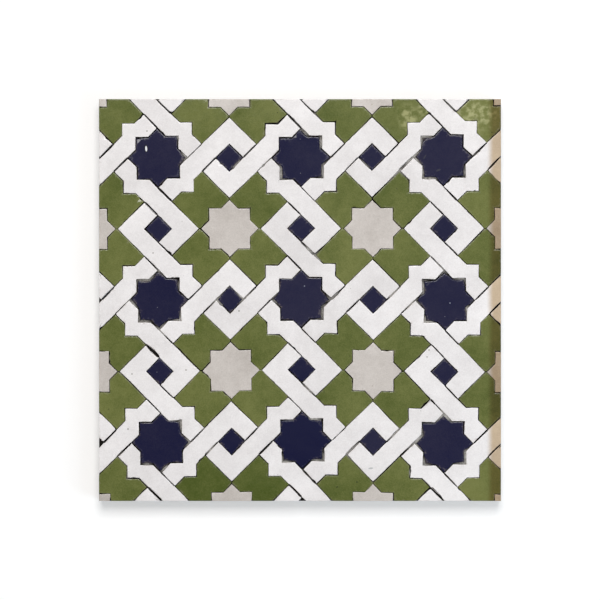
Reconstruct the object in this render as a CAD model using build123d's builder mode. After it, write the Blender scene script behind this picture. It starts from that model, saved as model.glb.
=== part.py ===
from build123d import *

import os
import random
from math import cos, radians, sin

# A square panel of cut mosaic tile: small glazed tiles set in one cast bed of mortar.
# Millimetres. The panel lies on its back, with +Z out of the glazed face.
# The origin is the middle of the back.

# Pattern, measured to the middles of the joints
star_tip = 22.5  # middle of a dark star to its tips on the axes
star_notch = 6.5  # how far those tips stand out past the star's flat sides
collar_width = 10.5  # a strap, across from a star's flat side to its own outer side
square_tip = 10.3  # middle of a dark square to its corners
arm_span = 20.35  # a strap, along the axis from a dark square's corner to its own outer corner
green_meeting = 1.45  # the short side along which two green tiles meet, off that corner
pale_tip = 21.9  # middle of a pale star to its tips on the axes
pale_notch = 6.4  # how far those tips stand out past the star's flat sides
corner_swing = 0.5  # square corners of a dark star and its straps lie this far round, anticlockwise
star_shoulder = star_tip - star_notch
pale_shoulder = pale_tip - pale_notch
collar = star_shoulder + collar_width
strap_elbow = square_tip + arm_span
half_repeat = strap_elbow + green_meeting + pale_tip
repeat = 2 * half_repeat  # from one dark star to the next
strap_reach = half_repeat - square_tip  # middle of a dark star to the far side of its straps

# Panel
stars_out = 1  # whole stars each way from the middle one
offcut_reach = 6.0  # how far the flat sides of the outermost pale stars reach in past the saw cut
pattern_shift = (1.1, 0.15)  # the middle star lies this far off the middle of the panel
tile_thickness = 12.0
bed_under_tiles = 10.0
joint_depth = 1.6  # from the glazed face down to the mortar in the joints
panel_side = (2 * stars_out + 1) * repeat - 2 * (pale_shoulder - offcut_reach)
panel_thickness = bed_under_tiles + tile_thickness
bed_height = panel_thickness - joint_depth

# Cutting and laying
joint = 1.0
star_slack = 0.3  # a dark star is cut this much smaller all round than the others
back_lean = 1.0  # a tile's chiselled sides lean in this far from its face to its back
tile_wander = 0.12  # a tile lies up to this far from its place
tile_twist = 0.25  # and up to this many degrees askew
star_twist = 1.2  # a dark star and a dark square lie up to this many degrees askew
hand = random.Random(8)

# How far each dark star was laid from the even grid, top row first, left to right
star_drift = [
    [(-1.25, -0.25), (-0.25, -0.25), (-0.75, 0.75)],
    [(-0.25, -0.25), (-0.25, 0.75), (1.0, -0.5)],
    [(1.5, -0.5), (0.75, 1.75), (0.0, -1.0)],
]
least_offcut = 4.0  # a tile that reaches less than this far into the panel is left out
grid = range(-stars_out - 1, stars_out + 2)  # columns and rows of stars, with one more past each sawn edge


# Outlines, as corner points round a dark star at (0, 0), anticlockwise
def square_corner(reach, side, swing):
    """A square corner reaching as far right as up, and the ends of its two sides, swung anticlockwise."""
    return [(reach - swing, side + swing), (reach - swing, reach + swing), (side - swing, reach + swing)]


def star_outline(tip, notch, swing=0.0, middle=(0.0, 0.0)):
    eighth = [(tip, 0.0), *square_corner(tip - notch, notch, swing)]
    whole = [corner for quarter in range(4) for corner in turned(eighth, quarter)]
    return [(x + middle[0], y + middle[1]) for x, y in whole]


def square_outline(middle):
    x, y = middle
    return [(x + square_tip, y), (x, y + square_tip), (x - square_tip, y), (x, y - square_tip)]


def short_end_corner():
    """Where the blunt end of a strap meets the side of the next strap round the star."""
    along = (strap_reach - star_tip) / (half_repeat - star_tip + strap_elbow)
    return (star_tip + along * (half_repeat - star_tip), along * strap_elbow)


def collar_corner():
    return square_corner(collar, strap_reach - collar, corner_swing)


def strap_outline():
    """The strap above and right of a star: it hugs the star, runs up left and turns round a square."""
    half_arm = (strap_elbow - square_tip) / 2
    return [
        (0.0, star_tip),
        *reversed(square_corner(star_shoulder, star_notch, corner_swing)),
        (star_tip, 0.0),
        short_end_corner(),
        *collar_corner(),
        (-square_tip, half_repeat),
        (0.0, half_repeat + square_tip),
        (-half_arm, half_repeat + square_tip + half_arm),
        (-strap_elbow, half_repeat),
    ]


def green_outline():
    """The green tile above and right of a star, between its collar of straps and a pale star."""
    half_arm = (strap_elbow - square_tip) / 2
    return [
        (half_repeat, half_repeat - pale_tip),
        (half_repeat - pale_notch, half_repeat - pale_shoulder),
        (half_repeat - pale_shoulder, half_repeat - pale_shoulder),
        (half_repeat - pale_shoulder, half_repeat - pale_notch),
        (half_repeat - pale_tip, half_repeat),
        (strap_elbow, half_repeat),
        (half_arm, half_repeat - square_tip - half_arm),
        *reversed(collar_corner()),
        short_end_corner(),
        (half_repeat, strap_elbow),
    ]


# Laying out
def turned(corners, quarter):
    """The corners turned a number of quarter turns, anticlockwise, about the star."""
    for _ in range(quarter):
        corners = [(-y, x) for x, y in corners]
    return corners


def drift(x, y):
    """How far the hand-laid pattern has strayed at a place, blended between the nearest four stars."""
    across = min(max((x - pattern_shift[0]) / repeat + 1, 0.0), 2.0)
    down = min(max(1 - (y - pattern_shift[1]) / repeat, 0.0), 2.0)
    column, row = min(int(across), 1), min(int(down), 1)
    s, t = across - column, down - row
    return [
        (1 - t) * ((1 - s) * star_drift[row][column][axis] + s * star_drift[row][column + 1][axis])
        + t * ((1 - s) * star_drift[row + 1][column][axis] + s * star_drift[row + 1][column + 1][axis])
        for axis in (0, 1)
    ]


def laid(corners, column, row, twist=tile_twist):
    """The corners of a tile round the star at a column and row, as the hand laid them."""
    placed = []
    for x, y in corners:
        x += column * repeat + pattern_shift[0]
        y += row * repeat + pattern_shift[1]
        stray = drift(x, y)
        placed.append((x + stray[0], y + stray[1]))
    middle_x = sum(x for x, _ in placed) / len(placed)
    middle_y = sum(y for _, y in placed) / len(placed)
    shift_x, shift_y = hand.uniform(-tile_wander, tile_wander), hand.uniform(-tile_wander, tile_wander)
    askew = radians(hand.uniform(-twist, twist))
    return [
        (
            middle_x + shift_x + (x - middle_x) * cos(askew) - (y - middle_y) * sin(askew),
            middle_y + shift_y + (x - middle_x) * sin(askew) + (y - middle_y) * cos(askew),
        )
        for x, y in placed
    ]


def inset(corners, gap):
    """An anticlockwise outline with each side moved in by a gap."""
    sides = [Vector(*after) - Vector(*here) for here, after in zip(corners, corners[1:] + corners[:1])]
    inward = [Vector(-side.Y, side.X).normalized() for side in sides]
    return [
        Vector(*corner) + (one + other) * (gap / (1 + one.dot(other)))
        for corner, one, other in zip(corners, inward[-1:] + inward[:-1], inward)
    ]


def cut_tiles(outlines, gap):
    """Tiles cut to their outlines less their share of the joint, and sawn off at the panel's edges."""
    with BuildPart() as tiles:
        for outline in outlines:
            for height, pulled_in in ((bed_under_tiles, gap + back_lean), (panel_thickness, gap)):
                with BuildSketch(Plane.XY.offset(height)):
                    with BuildLine():
                        Polyline(*inset(outline, pulled_in), close=True)
                    make_face()
            loft(ruled=True)
        with BuildSketch():
            Rectangle(panel_side, panel_side)
        extrude(amount=panel_thickness, mode=Mode.INTERSECT)
    return tiles


# Which tiles the panel holds
def reaches_in(corners):
    inside = panel_side / 2 - least_offcut
    return any(max(abs(x), abs(y)) < inside for x, y in corners)


def sawn_at(corners):
    """The panel's edges that a tile is sawn off at."""
    xs, ys = zip(*corners)
    reach = {"left": -min(xs), "right": max(xs), "bottom": -min(ys), "top": max(ys)}
    return [edge for edge, far in reach.items() if far > panel_side / 2]


nodes = {}  # node name: the outlines of its tiles, and the gap left round each


def put(name, corners, gap=joint / 2):
    if reaches_in(corners):
        nodes.setdefault(name, ([], gap))[0].append(corners)


def put_offcut(name, corners):
    edges = sawn_at(corners) or ["uncut"]
    put(f"{name}_{'corners' if len(edges) > 1 else edges[0]}", corners)


for row in reversed(grid):
    for column in grid:
        whole = max(abs(row), abs(column)) <= stars_out
        place = f"{stars_out + 1 - row}_{stars_out + 1 + column}"
        if whole:
            star = laid(star_outline(star_tip, star_notch, corner_swing), column, row, star_twist)
            put(f"dark_star_{place}", star, joint / 2 + star_slack)
        for quarter in range(4):
            strap = laid(turned(strap_outline(), quarter), column, row)
            green = laid(turned(green_outline(), quarter), column, row)
            if whole:
                put(f"white_straps_{place}", strap)
                put(f"green_tiles_{place}", green)
            else:
                put_offcut("white_strap_offcuts", strap)
                put_offcut("green_tile_offcuts", green)
        right_square = laid(square_outline((half_repeat, 0.0)), column, row, star_twist)
        put(f"dark_square_right_of_{place}", right_square)
        lower_square = laid(square_outline((0.0, -half_repeat)), column, row, star_twist)
        put(f"dark_square_below_{place}", lower_square)
        below_right = (half_repeat, -half_repeat)
        pale_star = laid(star_outline(pale_tip, pale_notch, middle=below_right), column, row)
        if sawn_at(pale_star):
            put_offcut("pale_star_offcuts", pale_star)
        else:
            put(f"pale_star_{place}", pale_star)

# Tiles
os.makedirs("parts", exist_ok=True)
all_tiles = []
for name, (outlines, gap) in nodes.items():
    tiles = cut_tiles(outlines, gap)
    tiles.part.label = name
    export_step(tiles.part, f"parts/{name}.step")
    all_tiles.append(tiles.part)

# Mortar bed, cast round the tiles, with a pocket for each
with BuildPart() as mortar_bed:
    with BuildSketch():
        Rectangle(panel_side, panel_side)
    extrude(amount=bed_height)
    add(all_tiles, mode=Mode.SUBTRACT)
mortar_bed.part.label = "mortar_bed"
export_step(mortar_bed.part, "parts/mortar_bed.step")
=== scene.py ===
import random
from math import radians

import bmesh
import bpy
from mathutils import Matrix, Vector, noise
from mathutils.bvhtree import BVHTree


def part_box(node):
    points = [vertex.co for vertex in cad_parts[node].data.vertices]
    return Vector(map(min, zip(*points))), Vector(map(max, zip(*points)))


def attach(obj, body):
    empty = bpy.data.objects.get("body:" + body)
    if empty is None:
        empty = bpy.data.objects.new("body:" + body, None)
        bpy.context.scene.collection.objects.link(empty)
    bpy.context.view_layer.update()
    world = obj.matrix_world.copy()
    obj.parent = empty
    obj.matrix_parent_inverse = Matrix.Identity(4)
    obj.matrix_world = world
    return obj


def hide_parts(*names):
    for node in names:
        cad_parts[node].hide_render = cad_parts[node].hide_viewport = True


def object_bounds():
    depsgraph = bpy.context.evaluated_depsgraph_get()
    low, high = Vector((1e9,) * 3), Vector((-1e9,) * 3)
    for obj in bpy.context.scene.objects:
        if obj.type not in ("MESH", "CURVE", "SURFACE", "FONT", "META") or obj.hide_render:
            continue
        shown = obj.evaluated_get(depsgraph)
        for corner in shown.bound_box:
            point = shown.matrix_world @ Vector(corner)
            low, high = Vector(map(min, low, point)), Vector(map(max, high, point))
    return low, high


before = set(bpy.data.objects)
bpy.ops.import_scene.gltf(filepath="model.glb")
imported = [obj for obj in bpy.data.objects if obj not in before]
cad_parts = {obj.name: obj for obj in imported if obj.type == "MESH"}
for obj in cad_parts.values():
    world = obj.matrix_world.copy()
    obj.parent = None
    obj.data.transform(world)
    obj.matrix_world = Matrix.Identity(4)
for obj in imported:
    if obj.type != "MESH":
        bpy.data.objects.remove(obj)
cad_box = [list(corner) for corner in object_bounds()]


# Mortar bed: sand and cement, cast over the backs of the tiles as they lie face down.
# It comes up between them to just under the glaze: grey where it stands high, nearly black where
# the joint was left open and lies deep, as dirt and painted shade. The panel was sawn square once the bed
# had set.
panel_half = cad_box[1][0]
face_height = cad_box[1][2]
joint_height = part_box("mortar_bed")[1].z
joint_grain = 0.0016  # size of the facets that the joints are broken into
open_depth = 0.0005  # how far an open joint lies below the bed's usual height
full_rise = 0.0010  # how far a full joint stands above it

# Where the mortar stands high, in millimetres from the middle of the panel: x, y and reach
full_joints = [
    # round the stars of the top row
    (-86, 110, 6), (-91, 124, 4), (16, 120, 6), (18, 99, 9), (-15, 96, 8), (-27, 104, 8), (4, 127, 5),
    (95, 123, 7), (84, 107, 10), (74, 98, 12), (98, 93, 9), (125, 97, 6),
    # the middle row
    (-118, 18, 9), (-88, 12, 9), (-118, -16, 9), (-104, -23, 8), (-90, -16, 8), (-128, -4, 7), (-104, 24, 6),
    (18, -8, 9), (26, 2, 8), (-18, 1, 5), (108, 24, 8), (121, 17, 6), (94, 10, 8), (84, -5, 10),
    (97, -16, 6), (126, -6, 4),
    # the bottom row
    (-89, -95, 7), (-86, -108, 5), (-116, -125, 6), (-102, -128, 5), (-12, -123, 8), (17, -120, 9),
    (12, -88, 7),
    (110, -87, 9), (90, -106, 11), (125, -121, 10), (95, -124, 6),
    # beside the squares, and along a strap
    (-49, 104, 6), (49, 104, 7), (7, 38, 5), (13, 31, 5), (-64, -1, 8), (-43, 2, 8), (70, 6, 8),
    (9, -67, 8), (40, -114, 10),
    (72, -100, 9), (-67, -115, 6),
    # against the pale stars and the corners of the straps
    (49, 74, 6), (70, 39, 4), (88, 26, 6), (133, -27, 4), (82, -131, 4), (-25, 84, 3), (55, 128, 4),
]
# Where it was left open
open_joints = [
    (-112, -41, 9), (96, -78, 6), (-111, -146, 9), (-4, -146, 10), (103, -146, 9), (-91, 17, 4),
    (-27, -113, 8),
    (-21, 137, 12), (24, -90, 10), (127, 2, 6), (140, 75, 14), (150, 101, 8), (130, 133, 6), (-149, -110, 8),
    (-150, 2, 8), (20, -137, 10), (64, -30, 10), (-36, -60, 14), (-120, 64, 16), (-70, 78, 12), (38, 20, 10),
]
# Where the tiles on both sides were laid wide of each other, and by how much
wide_by = 0.0005
wide_joints = [
    (9, 36, 13), (76, 100, 15), (-112, -41, 9), (27, 3, 6), (100, -145, 14), (40, -113, 10), (96, -78, 7),
    (90, -106, 8), (-20, 137, 9), (140, 75, 9), (83, -130, 6),
]


def strongest(spots, at):
    """How strongly a place is marked by the nearest of a list of spots, from 0 to 1."""
    x, y = at.x * 1000, at.y * 1000
    reach = max(1.0 - ((x - px) ** 2 + (y - py) ** 2) / far**2 for px, py, far in spots)
    return max(reach, 0.0)


def fullness(at):
    """How full of mortar a joint is at a place, from 0 to 1."""
    patchy = 0.55 * noise.noise(at * 48.0) + 0.40 * noise.noise(at * 170.0) + 0.30 * noise.noise(at * 520.0)
    packed = 0.85 * strongest(full_joints, at) - 0.6 * strongest(open_joints, at)
    return min(max(0.02 + 0.7 * patchy + packed, 0.0), 1.0)


bed = bmesh.new()
bed.from_mesh(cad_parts["mortar_bed"].data)
bmesh.ops.remove_doubles(bed, verts=bed.verts, dist=1e-6)
joints = [f for f in bed.faces if f.normal.z > 0.99 and f.calc_center_median().z > joint_height - 1e-5]
for across in (Vector((1, 0, 0)), Vector((0, 1, 0))):
    place = -panel_half + joint_grain
    while place < panel_half:
        along = {f: [v.co.dot(across) for v in f.verts] for f in joints}
        cut = [f for f in joints if min(along[f]) < place < max(along[f])]
        around = [*dict.fromkeys(part for f in cut for part in [*f.verts, *f.edges]), *cut]
        joints = [f for f in joints if not min(along[f]) < place < max(along[f])]
        done = bmesh.ops.bisect_plane(bed, geom=around, dist=1e-6, plane_co=across * place, plane_no=across)
        joints += [part for part in done["geom"] if isinstance(part, bmesh.types.BMFace)]
        place += joint_grain
for v in {v for f in joints for v in f.verts}:
    v.co.z += -open_depth + (open_depth + full_rise) * fullness(v.co)
for f in joints:
    f.smooth = True

mortar = bpy.data.materials.new("sand_cement_mortar")
mortar.use_nodes = True
nodes, links = mortar.node_tree.nodes, mortar.node_tree.links
shader = nodes["Principled BSDF"]
shader.inputs["Roughness"].default_value = 0.92
shader.inputs["Specular IOR Level"].default_value = 0.25
place = nodes.new("ShaderNodeTexCoord")
sand = nodes.new("ShaderNodeTexVoronoi")
sand.inputs["Scale"].default_value = 900.0
links.new(place.outputs["Object"], sand.inputs["Vector"])
cloud = nodes.new("ShaderNodeTexNoise")
cloud.inputs["Scale"].default_value = 60.0
cloud.inputs["Detail"].default_value = 6.0
links.new(place.outputs["Object"], cloud.inputs["Vector"])
grains = nodes.new("ShaderNodeValToRGB")
grains.color_ramp.elements[0].color = (0.07, 0.062, 0.054, 1)
grains.color_ramp.elements[1].color = (0.72, 0.69, 0.65, 1)
links.new(sand.outputs["Color"], grains.inputs["Fac"])
greys = nodes.new("ShaderNodeValToRGB")
greys.color_ramp.elements[0].position = 0.35
greys.color_ramp.elements[0].color = (0.30, 0.28, 0.255, 1)
greys.color_ramp.elements[1].position = 0.68
greys.color_ramp.elements[1].color = (0.47, 0.45, 0.42, 1)
links.new(cloud.outputs["Fac"], greys.inputs["Fac"])
body = nodes.new("ShaderNodeMix")
body.data_type = "RGBA"
body.inputs["Factor"].default_value = 0.5
links.new(greys.outputs["Color"], body.inputs["A"])
links.new(grains.outputs["Color"], body.inputs["B"])
# dirt and painted shade darken the bed where it lies deep between two tiles, but not on the sawn sides and
# the back
parts = nodes.new("ShaderNodeSeparateXYZ")
links.new(place.outputs["Object"], parts.inputs["Vector"])
high = nodes.new("ShaderNodeMapRange")
high.inputs["From Min"].default_value = joint_height - 0.6 * open_depth
high.inputs["From Max"].default_value = joint_height + 1.1 * full_rise
links.new(parts.outputs["Z"], high.inputs["Value"])
below = nodes.new("ShaderNodeMapRange")
below.inputs["From Min"].default_value = joint_height - open_depth - 0.0002
below.inputs["From Max"].default_value = joint_height - open_depth - 0.0008
links.new(parts.outputs["Z"], below.inputs["Value"])
clean = nodes.new("ShaderNodeMath")
clean.operation = "MAXIMUM"
links.new(high.outputs["Result"], clean.inputs[0])
links.new(below.outputs["Result"], clean.inputs[1])
dirt_and_painted_shade = nodes.new("ShaderNodeMix")
dirt_and_painted_shade.data_type = "RGBA"
dirt_and_painted_shade.inputs["A"].default_value = (0.007, 0.0055, 0.004, 1)
links.new(clean.outputs["Value"], dirt_and_painted_shade.inputs["Factor"])
links.new(body.outputs["Result"], dirt_and_painted_shade.inputs["B"])
links.new(dirt_and_painted_shade.outputs["Result"], shader.inputs["Base Color"])
relief = nodes.new("ShaderNodeBump")
relief.inputs["Strength"].default_value = 0.6
relief.inputs["Distance"].default_value = 0.0006
links.new(sand.outputs["Distance"], relief.inputs["Height"])
links.new(relief.outputs["Normal"], shader.inputs["Normal"])

mesh = bpy.data.meshes.new("cast_mortar_bed")
bed.to_mesh(mesh)
bed.free()
mesh.materials.append(mortar)
piece = bpy.data.objects.new("cast_mortar_bed", mesh)
bpy.context.scene.collection.objects.link(piece)
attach(piece, "root")
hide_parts("mortar_bed")


# Dark stars: clay tile with a navy glaze, chiselled to an eight-pointed star after firing.
# The chisel leaves a slightly wavy, chipped rim, and the glaze lies in soft waves. The first star carries
# a small white mark, dark round its edge. Each is bedded a little loosely in the middle of its ring of
# straps.
rim_step = 0.0011  # spacing of the facets along a chiselled rim
arris = 0.0002  # width of the worn edge
roll = 0.0005  # width over which the glaze turns down to it
wave_step = 0.0042  # spacing of the facets across the glazed face
joint_across = 0.0014  # from a rim to just past the next tile's
furthest_reach = 0.00038  # no rim reaches further into its joint than this
slow_wander = 0.00035  # how far a rim wanders over some 14 mm
fine_wander = 0.00010  # and over some 3 mm
straight_by_saw = 0.003  # it wanders less and less over this last stretch to a saw cut
deepest_chip = 0.0006


def tiles_cut_by_hand(node, seed, reach, chips, shades, lost):
    """A copy of a node's tiles with chiselled rims and softly waved glaze.

    reach(at, beyond) says how far the rim reaches into the joint at a place. The next tile lies beyond it.
    lost lists the corners that have broken off: x, y and depth.
    """
    hand = random.Random(seed)
    bm = bmesh.new()
    bm.from_mesh(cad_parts[node].data)
    bmesh.ops.remove_doubles(bm, verts=bm.verts, dist=1e-6)
    bmesh.ops.dissolve_limit(bm, angle_limit=radians(0.5), verts=bm.verts, edges=bm.edges)
    whole = bm.verts[:] + bm.edges[:] + bm.faces[:]
    bmesh.ops.bisect_plane(bm, geom=whole, dist=1e-6, plane_co=(0, 0, joint_height), plane_no=(0, 0, 1))
    faces = [f for f in bm.faces if f.normal.z > 0.99]

    def ways_out():
        """Each point of the chiselled rim, and the way out of the tile there. The sawn rim is left out."""
        ways = {}
        for corner in [corner for f in faces for corner in f.loops]:
            v = corner.vert
            if max(abs(v.co.x), abs(v.co.y)) < panel_half - 1e-5:
                arriving = (v.co - corner.link_loop_prev.vert.co).normalized()
                leaving = (corner.link_loop_next.vert.co - v.co).normalized()
                across = Vector((arriving.y + leaving.y, -arriving.x - leaving.x, 0))
                ways[v] = across / (1 + arriving.dot(leaving))
        return ways

    def wandered(at, way):
        wander = slow_wander * noise.noise(at * 70.0 + Vector((0, 0, seed)))
        wander += fine_wander * noise.noise(at * 350.0)
        out = min(wander + reach(at, at + way.normalized() * joint_across), furthest_reach)
        from_saw_cut = panel_half - max(abs(at.x), abs(at.y))
        return out * min(from_saw_cut / straight_by_saw, 1.0)

    # the rim wanders in and out of the joint: first its corners, then its sides between them
    moved = bm.verts.layers.float.new("moved_out")
    corners = ways_out()
    for v, way in corners.items():
        v[moved] = wandered(v.co, way)
    for v, way in corners.items():
        v.co += way * v[moved]
    level = [e for e in bm.edges if max(abs(v.co.z - joint_height) for v in e.verts) < 1e-5]
    for e in level + list(dict.fromkeys(e for f in faces for e in f.edges)):
        cuts = int(e.calc_length() / rim_step)
        if cuts:
            bmesh.ops.subdivide_edges(bm, edges=[e], cuts=cuts)
    ways = ways_out()
    moves = {}
    for v, way in ways.items():
        if v not in corners:
            moves[v] = way * (wandered(v.co - way * v[moved], way) - v[moved])
    for x, y, depth in lost:
        place = Vector((x, y, face_height))
        tip = min(ways, key=lambda v: (v.co - place).length)
        if (tip.co - place).length < 0.003:
            for v in ways:
                short = depth + (v.co - tip.co).dot(ways[tip].normalized())
                if 0 < short < 1.01 * depth and (v.co - tip.co).length < 3 * depth:
                    moves[v] = -ways[tip].normalized() * short
    for v, move in moves.items():
        v.co += move
    even = {"faces": faces, "use_even_offset": True, "use_boundary": True}
    worn_ring = bmesh.ops.inset_region(bm, thickness=arris, **even)
    roll_ring = bmesh.ops.inset_region(bm, thickness=roll, **even)
    low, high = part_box(node)
    for across, start, stop in ((Vector((1, 0, 0)), low.x, high.x), (Vector((0, 1, 0)), low.y, high.y)):
        place = start + wave_step / 2
        while place < stop:
            corners_and_sides = dict.fromkeys(part for f in faces for part in [*f.verts, *f.edges])
            around = [*corners_and_sides, *faces]
            cut = {"plane_co": across * place, "plane_no": across}
            done = bmesh.ops.bisect_plane(bm, geom=around, dist=1e-6, **cut)
            faces = [g for g in done["geom"] if isinstance(g, bmesh.types.BMFace)]
            place += wave_step

    # its worn edge drops away, and is chipped
    bm.verts.index_update()
    worn = bm.verts.layers.float.new("worn")
    edge = {v for f in roll_ring["faces"] for v in f.verts}
    rim = sorted({v for f in worn_ring["faces"] for v in f.verts} - edge, key=lambda v: v.co[:])
    blows = [
        (hand.choice(rim).co.copy(), hand.uniform(0.0008, 0.0022), deepest_chip * hand.random() ** 2)
        for _ in range(int(len(rim) * rim_step / 0.030 * chips))
    ]
    for v in edge:
        v[worn] = 0.5
    moves = {}
    for v in rim:
        v[worn] = 1.0
        inner = next((e.other_vert(v) for e in v.link_edges if e.other_vert(v) in edge), None)
        if inner is None:
            continue
        sawn = max(abs(v.co.x), abs(v.co.y)) > panel_half - 1e-5
        drop = arris * (0.5 + 0.5 * abs(noise.noise(v.co * 420.0)))
        bite = sum(deep * max(1.0 - ((v.co - at).length / far) ** 2, 0.0) for at, far, deep in blows)
        push = Vector() if sawn else (inner.co - v.co) / arris * bite
        moves[v] = push + Vector((0, 0, -drop - 0.8 * bite))
        moves[inner] = push * 0.9 + Vector((0, 0, -0.1 * bite))
    for v, move in moves.items():
        v.co += move
    for v in bm.verts:  # nothing stands past the saw cut
        v.co.x = min(max(v.co.x, -panel_half), panel_half)
        v.co.y = min(max(v.co.y, -panel_half), panel_half)

    # its sides are grey where the joint is full and nearly black where it is open: dirt and painted shade of
    # the deep joint
    filled = bm.verts.layers.float.new("joint_filled")
    for v in bm.verts:
        v[filled] = fullness(v.co)

    # each tile has its own shade, lies a little low or tipped, and its glaze lies in slow waves
    shade = bm.verts.layers.float.new("tile_shade")
    left = set(bm.verts)
    while left:
        tile, grow = {}, [min(left, key=lambda v: v.index)]
        while grow:
            v = grow.pop()
            if v not in tile:
                tile[v] = True
                grow.extend(e.other_vert(v) for e in v.link_edges)
        left -= tile.keys()
        top = [v for v in tile if v.co.z > face_height - 0.0012]
        middle = sum((v.co for v in top), Vector()) / len(top)
        tint = hand.uniform(0.42, 0.58)
        for x, y, wanted in shades:
            if (middle.x * 1000 - x) ** 2 + (middle.y * 1000 - y) ** 2 < 12**2:
                tint = wanted
        sink = hand.uniform(0.00003, 0.00016)
        tip_x, tip_y = hand.uniform(-0.004, 0.004), hand.uniform(-0.004, 0.004)
        for v in tile:
            v[shade] = tint
        for v in top:
            waves = 0.00007 * (1.0 + noise.noise(v.co * 85.0 + Vector((0, 0, seed))))
            fall = sink + tip_x * (v.co.x - middle.x) + tip_y * (v.co.y - middle.y) + waves
            v.co.z -= min(max(fall, 0.0), 0.0006)
    for f in bm.faces:
        f.smooth = f.normal.z > 0.95
    return bm


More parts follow.
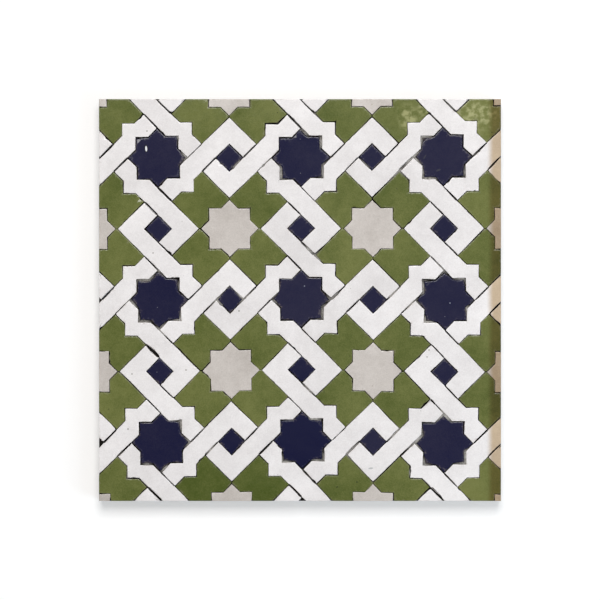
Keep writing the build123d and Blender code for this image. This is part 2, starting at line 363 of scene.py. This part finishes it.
def glaze(name, deep, pale, mottling, roughness, pits, marks=(), glare_patches=()):
    """A glaze over clay, deep in colour where it pooled and pale where it ran thin.

    Pits are given as their share, radius and colour.
    Marks and glare patches are given as x, y, width, height, turn and colour.
    Marks have a clear outline. Glare patches are cloudy: painted reflection of light on the glaze.
    """
    mat = bpy.data.materials.new(name)
    mat.use_nodes = True
    nodes, links = mat.node_tree.nodes, mat.node_tree.links
    shader = nodes["Principled BSDF"]
    shader.inputs["Specular IOR Level"].default_value = 0.35
    place = nodes.new("ShaderNodeTexCoord")
    parts = nodes.new("ShaderNodeSeparateXYZ")
    links.new(place.outputs["Object"], parts.inputs["Vector"])

    def clouds(scale, detail=2.0):
        tex = nodes.new("ShaderNodeTexNoise")
        tex.inputs["Scale"].default_value = scale
        tex.inputs["Detail"].default_value = detail
        links.new(place.outputs["Object"], tex.inputs["Vector"])
        return tex.outputs["Fac"]

    def added(output, weight, total):
        """A total with one more output on it, times its weight; outputs lie round 0.5."""
        more = nodes.new("ShaderNodeMath")
        more.operation = "MULTIPLY_ADD"
        links.new(output, more.inputs[0])
        more.inputs[1].default_value = weight
        links.new(total, more.inputs[2])
        return more.outputs["Value"]

    def ramp(value, low, high, start=0.0, stop=1.0):
        band = nodes.new("ShaderNodeMapRange")
        band.interpolation_type = "SMOOTHSTEP"
        links.new(value, band.inputs["Value"])
        for socket, number in zip(("From Min", "From Max", "To Min", "To Max"), (low, high, start, stop)):
            band.inputs[socket].default_value = number
        return band.outputs["Result"]

    def mixed(factor, a, b, blend="MIX"):
        mix = nodes.new("ShaderNodeMix")
        mix.data_type = "RGBA"
        mix.blend_type = blend
        for socket, value in (("Factor", factor), ("A", a), ("B", b)):
            if isinstance(value, tuple):
                mix.inputs[socket].default_value = value
            else:
                links.new(value, mix.inputs[socket])
        return mix.outputs["Result"]

    def both(a, b):
        times = nodes.new("ShaderNodeMath")
        times.operation = "MULTIPLY"
        links.new(a, times.inputs[0])
        links.new(b, times.inputs[1])
        return times.outputs["Value"]

    # colour: each tile's own shade, clouded at three sizes
    tint = nodes.new("ShaderNodeAttribute")
    tint.attribute_name = "tile_shade"
    pooled = added(clouds(38.0, 3.0), mottling, tint.outputs["Fac"])
    pooled = added(clouds(210.0, 4.0), 0.5 * mottling, pooled)
    pooled = added(clouds(1300.0), 0.9 * mottling, pooled)
    colour = mixed(ramp(pooled, 1.2 * mottling, 1.0 + 1.2 * mottling), pale, deep)

    # pinholes in the glaze
    share, radius, pit_colour = pits
    holes = nodes.new("ShaderNodeTexVoronoi")
    holes.voronoi_dimensions = "2D"
    holes.inputs["Scale"].default_value = 55.0
    links.new(place.outputs["Object"], holes.inputs["Vector"])
    chosen = nodes.new("ShaderNodeSeparateColor")
    links.new(holes.outputs["Color"], chosen.inputs["Color"])
    near_middle = ramp(holes.outputs["Distance"], 55.0 * radius, 30.0 * radius)
    pit = both(near_middle, ramp(chosen.outputs["Red"], share, share - 0.05))
    colour = mixed(pit, colour, pit_colour)

    def out_from(x, y, width, height, turn):
        """How far a place lies from the middle of an oval, which ends at 1."""
        oval = nodes.new("ShaderNodeMapping")
        oval.vector_type = "TEXTURE"
        oval.inputs["Location"].default_value = (x, y, face_height)
        oval.inputs["Rotation"].default_value = (0, 0, radians(turn))
        oval.inputs["Scale"].default_value = (width / 2, height / 2, 0.01)
        links.new(place.outputs["Object"], oval.inputs["Vector"])
        reach = nodes.new("ShaderNodeVectorMath")
        reach.operation = "LENGTH"
        links.new(oval.outputs["Vector"], reach.inputs[0])
        return reach.outputs["Value"]

    # painted reflection: cloudy pale patches of glare laid into the glaze colour
    for *oval, glare_colour in glare_patches:
        patchy = ramp(clouds(230.0, 3.0), 0.40, 0.66)
        colour = mixed(both(ramp(out_from(*oval), 1.2, 0.3), patchy), colour, glare_colour)
    for *oval, mark_colour in marks:
        colour = mixed(ramp(out_from(*oval), 1.15, 0.7), colour, mark_colour)

    # a warm painted shadow runs down the right-hand edge, darkening every colour alike
    painted_shadow_x = added(clouds(30.0), 0.003, parts.outputs["X"])
    colour = mixed(ramp(painted_shadow_x, 0.1425, 0.1485), colour, (0.66, 0.53, 0.37, 1), "MULTIPLY")

    # the worn rim holds dirt; below the glaze the chiselled sides are smeared with mortar, nearly black
    # with dirt and painted shade where the joint is open, and the sawn sides are bare clay
    rim = nodes.new("ShaderNodeAttribute")
    rim.attribute_name = "worn"
    worn = ramp(added(clouds(800.0), 0.8, rim.outputs["Fac"]), 0.7, 1.5)
    dirty = both(worn, ramp(clouds(140.0), 0.46, 0.62))
    colour = mixed(dirty, colour, mixed(clouds(500.0), (0.30, 0.24, 0.19, 1), colour))
    under = added(clouds(600.0), 0.0004, parts.outputs["Z"])
    bare = ramp(under, face_height - 0.0009, face_height - 0.0005, 1.0, 0.0)
    clay = mixed(clouds(180.0, 6.0), (0.42, 0.27, 0.18, 1), (0.62, 0.45, 0.32, 1))
    filled = nodes.new("ShaderNodeAttribute")
    filled.attribute_name = "joint_filled"
    smear = ramp(added(clouds(900.0), 2.0, filled.outputs["Fac"]), 1.30, 2.10)
    # the near-black end is dirt and painted shade of an open joint
    smear_dirt_and_shade = mixed(smear, (0.018, 0.014, 0.010, 1), (0.42, 0.395, 0.36, 1))
    sides = nodes.new("ShaderNodeVectorMath")
    sides.operation = "ABSOLUTE"
    links.new(place.outputs["Object"], sides.inputs[0])
    outer = nodes.new("ShaderNodeSeparateXYZ")
    links.new(sides.outputs["Vector"], outer.inputs["Vector"])
    furthest = nodes.new("ShaderNodeMath")
    furthest.operation = "MAXIMUM"
    links.new(outer.outputs["X"], furthest.inputs[0])
    links.new(outer.outputs["Y"], furthest.inputs[1])
    sawn = ramp(furthest.outputs["Value"], panel_half - 0.0002, panel_half - 0.0001)
    colour = mixed(bare, colour, mixed(sawn, smear_dirt_and_shade, clay))
    links.new(colour, shader.inputs["Base Color"])
    rough = nodes.new("ShaderNodeMath")
    rough.operation = "MAXIMUM"
    links.new(ramp(worn, 0.0, 0.6, roughness, 0.75), rough.inputs[0])
    links.new(ramp(bare, 0.0, 1.0, roughness, 0.9), rough.inputs[1])
    links.new(rough.outputs["Value"], shader.inputs["Roughness"])
    skin = nodes.new("ShaderNodeBump")
    skin.inputs["Strength"].default_value = 0.2
    skin.inputs["Distance"].default_value = 0.0003
    links.new(clouds(170.0), skin.inputs["Height"])
    links.new(skin.outputs["Normal"], shader.inputs["Normal"])
    return mat


def lay(node, name, mat, seed, reach, chips, shades=(), lost=()):
    bm = tiles_cut_by_hand(node, seed, reach, chips, shades, lost)
    mesh = bpy.data.meshes.new(name)
    bm.to_mesh(mesh)
    bm.free()
    mesh.materials.append(mat)
    piece = bpy.data.objects.new(name, mesh)
    bpy.context.scene.collection.objects.link(piece)
    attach(piece, "root")
    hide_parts(node)


def nodes_named(start):
    return sorted(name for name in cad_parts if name.startswith(start))


navy = glaze(
    "navy_glaze",
    (0.001, 0.002, 0.033, 1),
    (0.020, 0.018, 0.048, 1),
    0.6,
    0.10,
    (0.10, 0.0004, (0.16, 0.16, 0.20, 1)),
    [
        (-0.1168, 0.1150, 0.0030, 0.0062, 4, (0.004, 0.004, 0.012, 1)),  # a small white oval mark, dark round its edge
        (-0.1167, 0.1148, 0.0016, 0.0044, 4, (0.86, 0.86, 0.88, 1)),
        (0.0034, 0.0106, 0.0010, 0.0010, 0, (0.22, 0.24, 0.30, 1)),
        (0.1138, -0.0023, 0.0010, 0.0010, 0, (0.25, 0.27, 0.33, 1)),
        (0.0946, 0.1085, 0.0040, 0.0012, 60, (0.035, 0.035, 0.055, 1)),
        (0.1050, 0.0985, 0.0040, 0.0016, 20, (0.035, 0.035, 0.055, 1)),
    ],
)
navy_shades = [(1, -106, 0.95), (-53, -107, 0.80), (2, -54, 0.75), (-107, 0, 0.60), (-106, -108, 0.62)]
lost_star_corner = (0.0926, 0.1236, 0.0019)  # x, y and depth


def star_reach(at, beyond):
    """A star fills its ring of straps, except where it stands off and mortar fills the joint."""
    return 0.0003 - 0.0012 * strongest(full_joints, at)


for seed, node in enumerate(nodes_named("dark_star_"), 100):
    lay(node, f"navy_{node}", navy, seed, star_reach, 1.0, navy_shades, [lost_star_corner])


# Dark squares: offcuts of the same navy tile, trimmed square.
# Each fills the eye where two straps turn round each other.
def square_reach(at, beyond):
    return 0.0002 - 0.0006 * strongest(full_joints, at)


for seed, node in enumerate(nodes_named("dark_square_"), 200):
    lay(node, f"navy_{node}", navy, seed, square_reach, 0.6, navy_shades)


# White straps: clay tile with a white glaze, chiselled in long hooked strips.
# Four hug each dark star and run on round the dark squares, so that they seem to weave.
pinhole = (0.40, 0.38, 0.35, 1)
white = glaze(
    "white_glaze",
    (0.705, 0.67, 0.665, 1),
    (0.98, 0.945, 0.94, 1),
    0.6,
    0.15,
    (0.16, 0.0004, (0.42, 0.40, 0.38, 1)),
    [
        (0.0537, -0.1277, 0.0040, 0.0014, 5, (0.52, 0.52, 0.52, 1)),
        (-0.1161, 0.1282, 0.0014, 0.0012, 0, pinhole),
        (-0.1115, 0.0357, 0.0012, 0.0012, 0, pinhole),
        (-0.1305, -0.0979, 0.0013, 0.0016, 0, pinhole),
        (0.0979, -0.0379, 0.0014, 0.0012, 0, pinhole),
        (0.0964, -0.0432, 0.0012, 0.0011, 0, pinhole),
        (-0.0463, -0.0083, 0.0015, 0.0013, 0, pinhole),
        (-0.1275, -0.0561, 0.0012, 0.0014, 0, pinhole),
        (-0.0865, -0.0531, 0.0013, 0.0012, 0, pinhole),
    ],
)


def lies_over(start):
    """A test for whether a place lies over a tile of the nodes with this start to their names."""
    corners, sides = [], []
    for name in nodes_named(start):
        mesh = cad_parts[name].data
        sides += [[len(corners) + corner for corner in face.vertices] for face in mesh.polygons]
        corners += [v.co.copy() for v in mesh.vertices]
    tiles = BVHTree.FromPolygons(corners, sides)
    return lambda at: tiles.ray_cast(at + Vector((0, 0, 0.01)), Vector((0, 0, -1)), 0.02)[0] is not None


meets_green, meets_strap = lies_over("green_tile"), lies_over("white_strap")


def strap_reach(at, beyond):
    """A strap was laid tight against the green tiles, but more loosely against the other straps."""
    wide = wide_by * strongest(wide_joints, at)
    if meets_green(beyond):
        return 0.00027 - wide
    if meets_strap(beyond):
        rising = (beyond.x - at.x) * (beyond.y - at.y) < 0  # the joint runs up to the right
        return (-0.00012 if rising else -0.00006) - wide - 0.0003 * strongest(open_joints, at)
    return 0.0002 - 0.0003 * strongest(full_joints, at)


for seed, node in enumerate(nodes_named("white_strap"), 300):
    lay(node, f"glazed_{node}", white, seed, strap_reach, 0.7)


# Green tiles: clay tile with an olive green glaze that ran and pooled, so it is mottled.
# They fill the ground between the straps and the pale stars.
green = glaze(
    "green_glaze",
    (0.0575, 0.082, 0.008, 1),
    (0.201, 0.213, 0.065, 1),
    0.6,
    0.11,
    (0.12, 0.0005, (0.055, 0.060, 0.022, 1)),
    [
        (0.0281, -0.1419, 0.0016, 0.0010, 30, (0.020, 0.025, 0.008, 1)),
        (0.0432, -0.1381, 0.0014, 0.0010, 0, (0.020, 0.025, 0.008, 1)),
        (0.1275, -0.0053, 0.0014, 0.0012, 0, (0.55, 0.55, 0.52, 1)),
    ],
    # painted reflection: mottled pale glare over the greens at the upper right corner
    [
        (0.0825, 0.1375, 0.018, 0.026, 15, (0.36, 0.36, 0.16, 1)),
        (0.0935, 0.1445, 0.014, 0.010, 40, (0.36, 0.36, 0.16, 1)),
        (0.1340, 0.1405, 0.038, 0.028, 0, (0.40, 0.40, 0.19, 1)),
    ],
)
# the two right-hand greens are set paler as painted light on the side the light falls on; the two bottom
# greens are a deeper glaze of their own
green_shades_and_lit_side = [(-27, -137, 0.74), (-79, -137, 0.74), (137, -137, 0.35), (137, 137, 0.30)]


def green_reach(at, beyond):
    return 0.00022 - wide_by * strongest(wide_joints, at)


for seed, node in enumerate(nodes_named("green_tile"), 400):
    lay(node, f"glazed_{node}", green, seed, green_reach, 0.7, green_shades_and_lit_side)


# Pale stars: clay tile with a thin beige glaze, chiselled to the same eight-pointed star.
# Those at the panel's edges and corners were sawn through with it.
beige = glaze(
    "beige_glaze",
    (0.449, 0.403, 0.366, 1),
    (0.720, 0.664, 0.624, 1),
    0.6,
    0.18,
    (0.12, 0.0005, (0.38, 0.33, 0.26, 1)),
)
beige_shades = [(-148, -149, 0.75)]
for seed, node in enumerate(nodes_named("pale_star"), 500):
    lay(node, f"beige_{node}", beige, seed, lambda at, beyond: 0.0003, 0.7, beige_shades)


# Floor: a plain white table that the panel lies on, lit with it.
floor_bm = bmesh.new()
bmesh.ops.create_grid(floor_bm, x_segments=1, y_segments=1, size=3.0)
floor_mesh = bpy.data.meshes.new("floor")
floor_bm.to_mesh(floor_mesh)
floor_bm.free()
paper = bpy.data.materials.new("white_paper")
paper.use_nodes = True
nodes, links = paper.node_tree.nodes, paper.node_tree.links
nodes.clear()
matt = nodes.new("ShaderNodeBsdfDiffuse")
matt.inputs["Color"].default_value = (0.82, 0.82, 0.82, 1)
lift = nodes.new("ShaderNodeEmission")
ray = nodes.new("ShaderNodeLightPath")
seen = nodes.new("ShaderNodeMath")
seen.operation = "MAXIMUM"
links.new(ray.outputs["Is Camera Ray"], seen.inputs[0])
links.new(ray.outputs["Is Glossy Ray"], seen.inputs[1])
level = nodes.new("ShaderNodeMath")
level.operation = "MULTIPLY"
level.inputs[1].default_value = 0.28
links.new(seen.outputs["Value"], level.inputs[0])
links.new(level.outputs["Value"], lift.inputs["Strength"])
together = nodes.new("ShaderNodeAddShader")
links.new(matt.outputs["BSDF"], together.inputs[0])
links.new(lift.outputs["Emission"], together.inputs[1])
out = nodes.new("ShaderNodeOutputMaterial")
links.new(together.outputs["Shader"], out.inputs["Surface"])
floor_mesh.materials.append(paper)
floor = bpy.data.objects.new("floor", floor_mesh)
bpy.context.scene.collection.objects.link(floor)

# Light: a soft room, a warm window past the panel's upper edge, and a cool wall and ceiling on the right.
world = bpy.data.worlds.new("soft_room")
bpy.context.scene.world = world
world.use_nodes = True
world.node_tree.nodes["Background"].inputs["Color"].default_value = (1.0, 0.985, 0.965, 1)
world.node_tree.nodes["Background"].inputs["Strength"].default_value = 0.34


def lamp(name, at, towards, width, height, watts, colour=(1, 1, 1)):
    light = bpy.data.lights.new(name, "AREA")
    light.shape = "RECTANGLE"
    light.size, light.size_y = width, height
    light.energy = watts
    light.color = colour
    holder = bpy.data.objects.new(name, light)
    holder.location = at
    holder.rotation_mode = "QUATERNION"
    holder.rotation_quaternion = (Vector(towards) - Vector(at)).to_track_quat("-Z", "Y")
    bpy.context.scene.collection.objects.link(holder)


lamp("window", (0.0, 1.2, 2.8), (0.0, 1.2, 0), 1.2, 1.4, 58.0, (1.0, 0.99, 0.975))
lamp("wall", (0.9, -0.45, 0.9), (0, 0, 0), 0.6, 1.0, 4.5, (0.72, 0.87, 1.0))
lamp("ceiling", (0.45, -0.05, 2.62), (0.22, 0, 0), 0.6, 1.1, 0.34, (0.92, 0.96, 1.0))

# Camera: straight above the middle of the panel, with a long lens.
camera = bpy.data.cameras.new("camera")
camera.lens = 200.0
camera.sensor_width = 36.0
seen_width = 2 * panel_half * 600 / 402
viewer = bpy.data.objects.new("camera", camera)
viewer.location = (0.0, 0.0, face_height + seen_width * camera.lens / camera.sensor_width)
camera.clip_end = 20.0
bpy.context.scene.collection.objects.link(viewer)
bpy.context.scene.camera = viewer
bpy.context.scene.view_settings.view_transform = "Standard"
